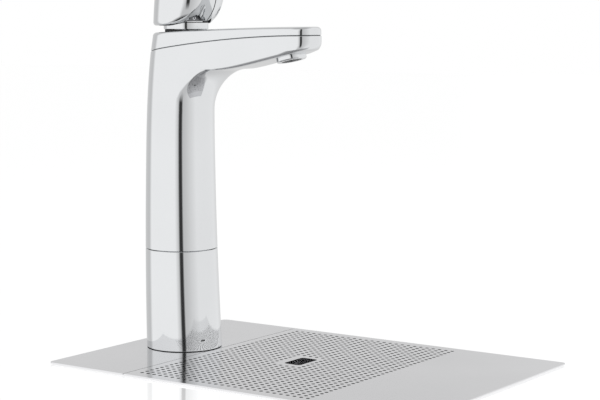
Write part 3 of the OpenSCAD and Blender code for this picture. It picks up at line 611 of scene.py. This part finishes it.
def nozzle_place(form):
    """Frame of the nozzle: origin on the underside, +Z square to it"""
    sizes = form.z
    z = sizes.under_h + sizes.under_slope * KNEE_SOFT * math.log1p(math.exp((sizes.nozzle_reach - KNEE) / KNEE_SOFT))
    return (Matrix.Translation(Vector((0, -sizes.nozzle_reach, z + PLATE_TOP)) * MM)
            @ Matrix.Rotation(-math.atan(sizes.under_slope), 4, "X"))


def steps(low, high, n):
    return [low + (high - low) * i / n for i in range(n + 1)]


# ---------------------------------------------------------------- operators: the tap's pieces
class TAP_OT_riser(bpy.types.Operator):
    """Lower length of the column, with its eased ends and its bores"""
    bl_idname = "tap.riser"
    bl_label = "Riser"

    def execute(self, context):
        sizes = context.scene.tap_form
        form = Form(sizes)
        ease, top = sizes.edge_ease, sizes.riser_h
        rings = [form.column_ring(0.5, 0.15)] + [form.column_ring(z) for z in steps(0.7, top - ease, 16)]
        rings.append(form.column_ring(top, ease))
        obj = skin("riser_form", rings)
        carve(obj, [rod("cut", 16.6, -1, 29), rod("cut", 24, 14.5, 120)])
        smooth(obj)
        hand_over(obj, "tap_body", ["riser"], "chrome")
        return {"FINISHED"}


class TAP_OT_body(bpy.types.Operator):
    """Upper column that runs out into the spout, open on top for the tubes"""
    bl_idname = "tap.body"
    bl_label = "Column body and spout"

    def execute(self, context):
        sizes = context.scene.tap_form
        form = Form(sizes)
        ease, low = sizes.edge_ease, sizes.riser_h + sizes.joint_line
        rings = [form.column_ring(low, ease)] + [form.column_ring(z) for z in steps(low + ease, FILLET_LOW,
                                                                                    30)]
        rings += [form.fillet_ring(i / 28) for i in range(1, 29)]
        rings += [form.under_ring(s) for s in steps(form.under_start + 1, form.tip_side - 0.5, 34)]
        rings += [form.tip_ring(w) for w in (0.15, 0.3, 0.45, 0.58, 0.7, 0.8, 0.87, 0.92, 0.96, 0.985, 1)]
        rings += [form.tip_ring(1, 0.6), form.tip_ring(1, 0.8)]
        rings += [form.tip_ring(1, 1, 0, ease), form.tip_ring(1, 1, ease, 0)]
        obj = skin("column_body_form", rings)
        at_nozzle = nozzle_place(form)
        carve(obj, [
            rod("cut", sizes.bore_r, 70, 300), rod("cut", 24, 70, low + 10), rod("cut", 22.8, 236, 300),
            block("cut", (-12.5, -10.5, 4.8), (12.5, sizes.nozzle_reach - 5, 60), at_nozzle),
            lathe("cut", [(sizes.nozzle_r, -5), (sizes.nozzle_r, 15)], 96, at_nozzle)])
        smooth(obj)
        hand_over(obj, "tap_body", ["column_body"], "chrome")
        return {"FINISHED"}


class TAP_OT_top_cover(bpy.types.Operator):
    """Lid of column and spout, with its rounded edge, the seat for the collar and the seal under it"""
    bl_idname = "tap.top_cover"
    bl_label = "Top cover"

    def execute(self, context):
        sizes = context.scene.tap_form
        form = Form(sizes)
        ease = sizes.edge_ease
        rings = [form.cover_wall(0, COVER_INSET + ease, sizes.joint_line)]
        rings += [form.cover_wall(v, COVER_INSET, sizes.joint_line + ease) for v in steps(0, 1, 8)]
        rings += [form.cover_crown(COVER_EDGE * (1 - math.cos(math.pi / 2 * i / 8))) for i in range(1, 9)]
        rings += [form.cover_crown(d) for d in (5, 7, 9, 11, 13, 15)]
        obj = skin("top_cover_form", rings)
        carve(obj, [
            rod("cut", 8.5, 236, 296, s=HEAD_S), rod("cut", 17.3, 259.2, 279, s=HEAD_S),
            rod("cut", 20, 220, 256.2),
            block("cut", (-9, -70, 220 + PLATE_TOP), (9, 0, 256.7 + PLATE_TOP))])
        smooth(obj)
        hand_over(obj, "tap_body", ["top_cover"], "chrome")
        seal = skin("cover_seal", [form.cover_wall(0, SEAL_INSET, lift) for lift in (0.02,
                                                                                     sizes.joint_line - 0.02)])
        carve(seal, [rod("cut", sizes.bore_r, 220, 280),
                     block("cut", (-12.5, -sizes.nozzle_reach + 5, 220), (12.5, 0, 280))])
        give_finish(seal, "rubber")
        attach(seal, "tap_body")
        return {"FINISHED"}


# ---------------------------------------------------------------- the levers
BARREL_LOW, LEVER_ROUND, LEVER_SLOPE, BARREL_N = 264.9, 6.0, 0.176, 144
EDGE_RISE, NOTCH_TURN, NOTCH_Z, NOTCH_R = 0.2, 23.0, 11.1, 2.4
NOTCH_EDGE = ((57, 3.3), (32, 8.3), (16, 7.3), (3, 3.8))
AXLE_S, AXLE_Z, AXLE_R = 2.0, 281.0, 2.5
POCKET_R, POCKET_Z = 20.8, 277.3
DISC_X, DISC_S, DISC_R, DISC_T = 11.5, 17.0, 5.0, 1.2


class Barrel:
    """The round form that both levers are cut from"""

    def __init__(self, sizes):
        self.edge = sizes.lever_edge_h

    @staticmethod
    def front(z):
        return 37.5 - 13 * math.exp(-(z - 267.5) / 12)

    @staticmethod
    def rear(z):
        return 22.7 - 0.074 * (z - 267)

    def radius(self, z):
        return (self.front(z) + self.rear(z)) / 2

    def centre(self, z):
        return (self.front(z) - self.rear(z)) / 2 / 0.822

    def ring(self, z, inset, up):
        c, r = self.centre(z), self.radius(z) - inset
        k = LEVER_SLOPE * max(0.0, min(1.0, (z - 280) / (self.edge - 280)))
        pts = []
        for i in range(BARREL_N):
            a = 2 * math.pi * i / BARREL_N
            pts.append(Vector((r * math.sin(a), -(c - r * math.cos(a)),
                               z + up - k * r * math.cos(a) + PLATE_TOP)) * MM)
        return pts

    def rings(self):
        rings = [self.ring(BARREL_LOW, 2, 0), self.ring(BARREL_LOW + 0.3, 1.2, 0),
                 self.ring(BARREL_LOW + 0.7, 0.7, 0)]
        rings += [self.ring(z, 0, 0) for z in steps(267.0, self.edge, 26)]
        rings += [self.ring(self.edge, LEVER_ROUND * (1 - math.cos(q)), LEVER_ROUND * math.sin(q))
                  for q in (math.radians(84) * i / 12 for i in range(1, 13))]
        return rings + [self.ring(self.edge, d, LEVER_ROUND + u) for d,
                        u in ((9, 0.5), (12, 0.9), (16, 1.15), (20, 1.3), (25, 1.4))]


def disc_place(barrel, side):
    z = barrel.edge + LEVER_ROUND + 0.6 + LEVER_SLOPE * (DISC_S - barrel.centre(barrel.edge))
    return (Matrix.Translation(Vector((side * DISC_X, -DISC_S, z + PLATE_TOP)) * MM)
            @ Matrix.Rotation(-math.atan(LEVER_SLOPE), 4, "X"))


def radial(turn, side):
    """Frame at the head's centre, its X axis at an azimuth from the front"""
    return (Matrix.Translation(Vector((0, -HEAD_S, PLATE_TOP)) * MM)
            @ Matrix.Rotation(math.radians(-90 + side * turn), 4, "Z"))


def notch(side):
    """The opening over the grub screw: a sloping scoop and a low, wide cut"""
    place = (radial(NOTCH_TURN, side) @ Matrix.Translation(Vector((27, 0, BARREL_LOW + NOTCH_Z)) * MM)
             @ Matrix.Rotation(math.radians(225), 4, "Y"))
    pts = []
    for turn, z in NOTCH_EDGE:
        for drop in (0, 12):
            tilt = (radial(turn, side) @ Matrix.Translation(Vector((24.5, 0,
                                                                    BARREL_LOW + z - 0.6 - drop)) * MM)
                    @ Matrix.Rotation(math.radians(-110), 4, "Y"))
            for i in range(16):
                a = 2 * math.pi * i / 16
                pts += [tilt @ (Vector((0.6 * math.cos(a), 0.6 * math.sin(a), out)) * MM) for out in (-8, 7)]
    return [lathe("cut", [(NOTCH_R, -10), (NOTCH_R, 14)], 48, place), hull_of("cut", pts)]


class TAP_OT_levers(bpy.types.Operator):
    """The two rocking levers, hollow underneath for the pivot block"""
    bl_idname = "tap.levers"
    bl_label = "Levers"

    def execute(self, context):
        sizes = context.scene.tap_form
        barrel = Barrel(sizes)
        keep = sizes.lever_split / 2
        for side, name in ((-1, "hot_lever"), (1, "cold_lever")):
            obj = skin(name + "_form", barrel.rings())
            half = block("keep", (keep, -60, 240), (60, 60, 360)) if side > 0 else block("keep",
                                                                                         (-60, -60, 240), (-keep, 60, 360))
            carve(obj, [half], "INTERSECT")
            tilt = (Matrix.Translation(Vector((0, -HEAD_S, BARREL_LOW + PLATE_TOP)) * MM)
                    @ Matrix.Rotation(-math.atan(EDGE_RISE), 4, "X"))
            hub = block("cut", (-1, -22, 250 + PLATE_TOP), (13, 14, 294 + PLATE_TOP)) if side > 0 else \
                block("cut", (-13, -22, 250 + PLATE_TOP), (1, 14, 294 + PLATE_TOP))
            stub = cross_rod("stub", 5, 6.9, 14, AXLE_S, AXLE_Z) if side > 0 else cross_rod("stub", 5, -14,
                                                                                            -6.9, AXLE_S, AXLE_Z)
            carve(hub, [stub])
            bore = cross_rod("cut", 2.55, 0, 19.8, AXLE_S, AXLE_Z) if side > 0 else cross_rod("cut", 2.55,
                                                                                              -19.8, 0, AXLE_S, AXLE_Z)
            carve(obj, [
                block("cut", (-60, -60, -20), (60, 0, 0), tilt), *notch(side),
                rod("cut", POCKET_R, 250, POCKET_Z, s=HEAD_S),
                hub, bore, lathe("cut", [(DISC_R + 0.1, -DISC_T), (DISC_R + 0.1, 10)], 64,
                                 disc_place(barrel, side))])
            smooth(obj)
            hand_over(obj, name, [name], "chrome")
            # Painted shade, in part: the pocket's inside and every downward face take the darkened cast finish, partly
            # bare cast metal, partly shade painted under the levers.
            obj.data.materials.append(finish_of("cast_and_painted_shade"))
            for face in obj.data.polygons:
                x, y, z = face.center / MM
                inside = math.hypot(x, y + HEAD_S) < POCKET_R + 0.05 and z < POCKET_Z + PLATE_TOP + 0.05
                face.material_index = int(inside or face.normal.z < -0.95)
        return {"FINISHED"}


class TAP_OT_discs(bpy.types.Operator):
    """The domed coloured discs on the levers"""
    bl_idname = "tap.discs"
    bl_label = "Coloured discs"

    def execute(self, context):
        barrel = Barrel(context.scene.tap_form)
        for side, name, slot in ((-1, "hot_indicator", "red_disc"), (1, "cold_indicator", "blue_disc")):
            profile = [(DISC_R, -DISC_T), (DISC_R, -0.15)]
            profile += [(DISC_R - 0.35 * (1 - math.cos(q)), -0.15 + 0.35 * math.sin(q)) for q in (0.4, 0.8,
                                                                                                  1.2, 1.5)]
            profile += [(3.4, 0.22), (1.8, 0.24), (0.4, 0.25)]
            obj = lathe(name + "_dome", profile, 64, disc_place(barrel, side))
            smooth(obj)
            hand_over(obj, "hot_lever" if side < 0 else "cold_lever", [name], slot)
        return {"FINISHED"}


# ---------------------------------------------------------------- repeated turns, by Geometry Nodes
def turns_tree():
    """Thread turns: rings of a ridge section, stacked at a pitch"""
    tree = bpy.data.node_groups.new("Thread turns", "GeometryNodeTree")
    face = tree.interface
    face.new_socket("Geometry", in_out="OUTPUT", socket_type="NodeSocketGeometry")
    for name, default in (("Radius", 0.0165), ("Depth", 0.0004), ("Pitch", 0.0015), ("Sides", 48),
                          ("Count", 20)):
        kind = "NodeSocketInt" if name in ("Sides", "Count") else "NodeSocketFloat"
        face.new_socket(name, in_out="INPUT", socket_type=kind).default_value = default
    face.new_socket("Material", in_out="INPUT", socket_type="NodeSocketMaterial")
    nodes, link = tree.nodes, tree.links.new
    put = nodes.new("NodeGroupInput")
    out = nodes.new("NodeGroupOutput")
    circle = nodes.new("GeometryNodeCurvePrimitiveCircle")
    link(put.outputs["Sides"], circle.inputs["Resolution"])
    link(put.outputs["Radius"], circle.inputs["Radius"])
    ridge = nodes.new("GeometryNodeCurvePrimitiveCircle")
    ridge.inputs["Resolution"].default_value = 4
    link(put.outputs["Depth"], ridge.inputs["Radius"])
    ring = nodes.new("GeometryNodeCurveToMesh")
    link(circle.outputs["Curve"], ring.inputs["Curve"])
    link(ridge.outputs["Curve"], ring.inputs["Profile Curve"])
    line = nodes.new("GeometryNodeMeshLine")
    line.mode = "OFFSET"
    offset = nodes.new("ShaderNodeCombineXYZ")
    link(put.outputs["Pitch"], offset.inputs["Z"])
    link(offset.outputs["Vector"], line.inputs["Offset"])
    link(put.outputs["Count"], line.inputs["Count"])
    spread_out = nodes.new("GeometryNodeInstanceOnPoints")
    link(line.outputs["Mesh"], spread_out.inputs["Points"])
    link(ring.outputs["Mesh"], spread_out.inputs["Instance"])
    real = nodes.new("GeometryNodeRealizeInstances")
    link(spread_out.outputs["Instances"], real.inputs["Geometry"])
    paint = nodes.new("GeometryNodeSetMaterial")
    link(real.outputs["Geometry"], paint.inputs["Geometry"])
    link(put.outputs["Material"], paint.inputs["Material"])
    link(paint.outputs["Geometry"], out.inputs["Geometry"])
    return tree


def grown(name, tree, values, place):
    """Runs a tree once and keeps the result as a plain mesh with its place in it"""
    seed = new_object(name + "_seed", bpy.data.meshes.new(name + "_seed"))
    step = seed.modifiers.new("grow", "NODES")
    step.node_group = tree
    for item in tree.interface.items_tree:
        if item.in_out == "INPUT" and item.name in values:
            step[item.identifier] = values[item.name]
    mesh = bpy.data.meshes.new_from_object(seed.evaluated_get(bpy.context.evaluated_depsgraph_get()))
    mesh.name = name
    mesh.transform(place)
    old = seed.data
    bpy.data.objects.remove(seed)
    bpy.data.meshes.remove(old)
    return new_object(name, mesh)


class TAP_OT_threads(bpy.types.Operator):
    """Thread turns on the shank and on the drain's tail"""
    bl_idname = "tap.threads"
    bl_label = "Thread turns"

    def execute(self, context):
        tree = turns_tree()
        for name, radius, pitch, low, high, s, slot in (
                ("shank_thread", 16.32, 1.5, -61.0, -1.0, 0, "brass"),
                ("drain_thread", 14.82, 1.5, -62.6, -33.8, 75, "chrome")):
            values = {"Radius": radius * MM, "Depth": 0.28 * MM, "Pitch": pitch * MM, "Sides": 48,
                      "Count": int((high - low) / pitch), "Material": finish_of(slot)}
            obj = grown(name, tree, values, Matrix.Translation(Vector((0, -s, low)) * MM))
            smooth(obj, 60)
            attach(obj, "tap_body")
        return {"FINISHED"}


class TAP_OT_finishes(bpy.types.Operator):
    """A procedural finish on every carried CAD node"""
    bl_idname = "tap.finishes"
    bl_label = "Finishes of the carried pieces"

    def execute(self, context):
        slots = {p["node"]: p["material_slot"] for p in frame["record"]["subparts"]}
        for node, obj in frame["nodes"].items():
            # Painted shade, in part: the pivot block takes the darkened cast finish in place of its own slot's, to
            # darken the gap under the levers.
            give_finish(obj, {"pivot_block": "cast_and_painted_shade", "joining_sleeve": "steel"}.get(node, slots[node]))
        return {"FINISHED"}


# ---------------------------------------------------------------- the stage
# The studio is a gray room with two white panels and a black strip between them. Each is its middle, half its
# width and its soft edge, in degrees from the camera and positive to its right, and its level.
ROOM_LEVEL = 0.75
LEFT_PANEL, RIGHT_PANEL, BLACK_STRIP = (-62, 46, 12, 1.2), (95, 40, 40, 1.1), (3, 4, 4, 0.05)
PANEL_LEAN = 0.33
# Where the strip, the lit room and the ceiling begin, as a height in degrees, and over how many they fade in.
STRIP_FOOT, ROOM_FOOT, CEILING_EDGE = (-45, 20), (-66, 10), (55, 15)
FLOOR_LEVEL, CEILING_LEVEL = 0.022, 0.6


def studio_world(scene, stage):
    world = bpy.data.worlds.new("Studio")
    scene.world = world
    world.use_nodes = True
    tree = world.node_tree
    tree.nodes.clear()
    link = tree.links.new

    def maths(kind, a, b=None, clamp=False):
        node = tree.nodes.new("ShaderNodeMath")
        node.operation = kind
        node.use_clamp = clamp
        for i, value in enumerate((a, b)):
            if isinstance(value, (int, float)):
                node.inputs[i].default_value = value
            elif value is not None:
                link(value, node.inputs[i])
        return node.outputs[0]

    def mixed(factor, a, b, blend="MIX"):
        node = tree.nodes.new("ShaderNodeMix")
        node.data_type = "RGBA"
        node.blend_type = blend
        for socket, value in (("Factor", factor), ("A", a), ("B", b)):
            if isinstance(value, bpy.types.NodeSocket):
                link(value, node.inputs[socket])
            else:
                node.inputs[socket].default_value = value
        return node.outputs["Result"]

    place = tree.nodes.new("ShaderNodeTexCoord")
    turn = tree.nodes.new("ShaderNodeVectorRotate")
    turn.rotation_type = "Z_AXIS"
    turn.inputs["Angle"].default_value = -math.atan2(-stage.aim[1], -stage.aim[0])
    parts = tree.nodes.new("ShaderNodeSeparateXYZ")
    link(place.outputs["Generated"], turn.inputs["Vector"])
    link(turn.outputs["Vector"], parts.inputs["Vector"])
    azimuth = maths("MULTIPLY", maths("ARCTAN2", parts.outputs["Y"], parts.outputs["X"]), 180 / math.pi)
    height = maths("MULTIPLY", maths("ARCSINE", parts.outputs["Z"]), 180 / math.pi)

    def rising(start, over):
        """0 below the height start, 1 from start + over on"""
        return maths("MULTIPLY", maths("SUBTRACT", height, start), 1 / over, True)

    def shown(angle, panel):
        """1 on a panel, 0 beside it"""
        middle, half, soft, _ = panel
        away = maths("ABSOLUTE", maths("SUBTRACT", angle, middle))
        return maths("MULTIPLY", maths("SUBTRACT", half + soft, away), 1 / soft, True)

    def gray(level):
        return (level, level, level, 1)

    # The left panel's edge leans over towards the floor.
    drop = maths("MAXIMUM", maths("SUBTRACT", -20, height), 0)
    leaning = maths("ADD", azimuth, maths("MULTIPLY", drop, PANEL_LEAN))
    room = mixed(shown(leaning, LEFT_PANEL), gray(ROOM_LEVEL), gray(LEFT_PANEL[3]))
    room = mixed(shown(azimuth, RIGHT_PANEL), room, gray(RIGHT_PANEL[3]))
    strip = maths("MULTIPLY", shown(azimuth, BLACK_STRIP), rising(*STRIP_FOOT))
    room = mixed(strip, room, gray(BLACK_STRIP[3]))
    room = mixed(rising(*ROOM_FOOT), gray(FLOOR_LEVEL), room)
    room = mixed(rising(*CEILING_EDGE), room, gray(CEILING_LEVEL))
    path = tree.nodes.new("ShaderNodeLightPath")
    fill = (stage.fill_level,) * 3 + (1,)
    seen = mixed(maths("MAXIMUM", path.outputs["Is Glossy Ray"], path.outputs["Is Transmission Ray"]), fill,
                 room)
    back = tree.nodes.new("ShaderNodeBackground")
    out = tree.nodes.new("ShaderNodeOutputWorld")
    link(mixed(path.outputs["Is Camera Ray"], seen, (1, 1, 1, 1)), back.inputs["Color"])
    link(back.outputs["Background"], out.inputs["Surface"])


def floor_material():
    """Glossy white floor that keeps the shadow and a faint mirror image"""
    material = bpy.data.materials.new("white_floor")
    material.use_nodes = True
    tree = material.node_tree
    tree.nodes.clear()
    link = tree.links.new
    white = tree.nodes.new("ShaderNodeBsdfDiffuse")
    white.inputs["Color"].default_value = (0.92, 0.92, 0.92, 1)
    glow = tree.nodes.new("ShaderNodeEmission")
    facing = tree.nodes.new("ShaderNodeLayerWeight")
    facing.inputs["Blend"].default_value = 0.5
    gloss = spread(tree, facing.outputs["Facing"], 0.04, 0.65, 0.55, 0.8)
    level = tree.nodes.new("ShaderNodeMath")
    level.inputs[1].default_value = 0.95
    link(gloss, level.inputs[0])
    link(level.outputs[0], glow.inputs["Strength"])
    lift = tree.nodes.new("ShaderNodeMixShader")
    lift.inputs["Fac"].default_value = 0.86
    link(white.outputs[0], lift.inputs[1])
    link(glow.outputs[0], lift.inputs[2])
    mirror = tree.nodes.new("ShaderNodeBsdfGlossy")
    mirror.inputs["Roughness"].default_value = 0.02
    mirror.inputs["Color"].default_value = (1, 1, 1, 1)
    both = tree.nodes.new("ShaderNodeMixShader")
    link(gloss, both.inputs["Fac"])
    link(lift.outputs[0], both.inputs[1])
    link(mirror.outputs[0], both.inputs[2])
    path = tree.nodes.new("ShaderNodeLightPath")
    shown = tree.nodes.new("ShaderNodeMixShader")
    link(path.outputs["Is Camera Ray"], shown.inputs["Fac"])
    link(white.outputs[0], shown.inputs[1])
    link(both.outputs[0], shown.inputs[2])
    out = tree.nodes.new("ShaderNodeOutputMaterial")
    link(shown.outputs[0], out.inputs["Surface"])
    return material


class TAP_OT_stage(bpy.types.Operator):
    """Floor, lamps, studio and camera"""
    bl_idname = "tap.stage"
    bl_label = "Stage"

    def execute(self, context):
        scene, stage = context.scene, context.scene.tap_stage
        # The worktop has a cut-out under the plate, where the basin hangs.
        inner, outer = ((-0.112, 0.112), (-0.291, 0.041)), ((-6, 6), (-6, 6))
        corners = [(xs[i], ys[j], -0.0003) for xs, ys in (inner, outer) for i,
                   j in ((0, 0), (1, 0), (1, 1), (0, 1))]
        mesh = bpy.data.meshes.new("floor")
        mesh.from_pydata(corners, [], [(4 + i, 4 + (i + 1) % 4, (i + 1) % 4, i) for i in range(4)])
        floor = new_object("floor", mesh)
        mesh.materials.append(floor_material())
        floor.visible_glossy = False
        for name, place, size, power in (("key_lamp", (-0.9, -0.5, 1.7), 1.4, stage.key_power),
                                         ("fill_lamp", (1.1, 0.5, 1.3), 1.2, stage.key_power * 0.4)):
            data = bpy.data.lights.new(name, "AREA")
            data.shape = "SQUARE"
            data.size = size
            data.energy = power
            lamp = bpy.data.objects.new(name, data)
            scene.collection.objects.link(lamp)
            lamp.location = place
            lamp.rotation_euler = (Vector((0, -0.05, 0.1)) - Vector(place)).to_track_quat("-Z",
                                                                                          "Y").to_euler()
            lamp.visible_glossy = False
            lamp.visible_camera = False
        studio_world(scene, stage)
        data = bpy.data.cameras.new("camera")
        data.lens = stage.lens
        data.sensor_width = 36
        camera = bpy.data.objects.new("camera", data)
        scene.collection.objects.link(camera)
        camera.location = stage.eye
        camera.rotation_euler = Vector(stage.aim).to_track_quat("-Z", "Y").to_euler()
        scene.camera = camera
        scene.view_settings.view_transform = "Standard"
        return {"FINISHED"}


class TAP_PT_panel(bpy.types.Panel):
    """The steps that dress the tap, in order"""
    bl_idname = "TAP_PT_panel"
    bl_label = "Boiling water tap"
    bl_space_type = "VIEW_3D"
    bl_region_type = "UI"
    bl_category = "Tap"

    def draw(self, context):
        for operator in OPERATORS:
            self.layout.operator(operator.bl_idname)
        for group, kind in ((context.scene.tap_form, TapForm), (context.scene.tap_finish, TapFinish),
                            (context.scene.tap_stage, TapStage)):
            box = self.layout.box()
            for name in kind.__annotations__:
                box.prop(group, name)


OPERATORS = (TAP_OT_finishes, TAP_OT_riser, TAP_OT_body, TAP_OT_top_cover, TAP_OT_levers, TAP_OT_discs,
             TAP_OT_threads, TAP_OT_stage)
GROUPS = (("tap_form", TapForm), ("tap_finish", TapFinish), ("tap_stage", TapStage))


def register():
    for name, group in GROUPS:
        bpy.utils.register_class(group)
        setattr(bpy.types.Scene, name, bpy.props.PointerProperty(type=group))
    for kind in OPERATORS + (TAP_PT_panel,):
        bpy.utils.register_class(kind)


def unregister():
    for kind in reversed(OPERATORS + (TAP_PT_panel,)):
        bpy.utils.unregister_class(kind)
    for name, group in reversed(GROUPS):
        delattr(bpy.types.Scene, name)
        bpy.utils.unregister_class(group)


def main():
    register()
    bpy.ops.tap.finishes()
    bpy.ops.tap.riser()
    bpy.ops.tap.body()
    bpy.ops.tap.top_cover()
    bpy.ops.tap.levers()
    bpy.ops.tap.discs()
    bpy.ops.tap.threads()
    bpy.ops.tap.stage()


if __name__ == "__main__":
    main()
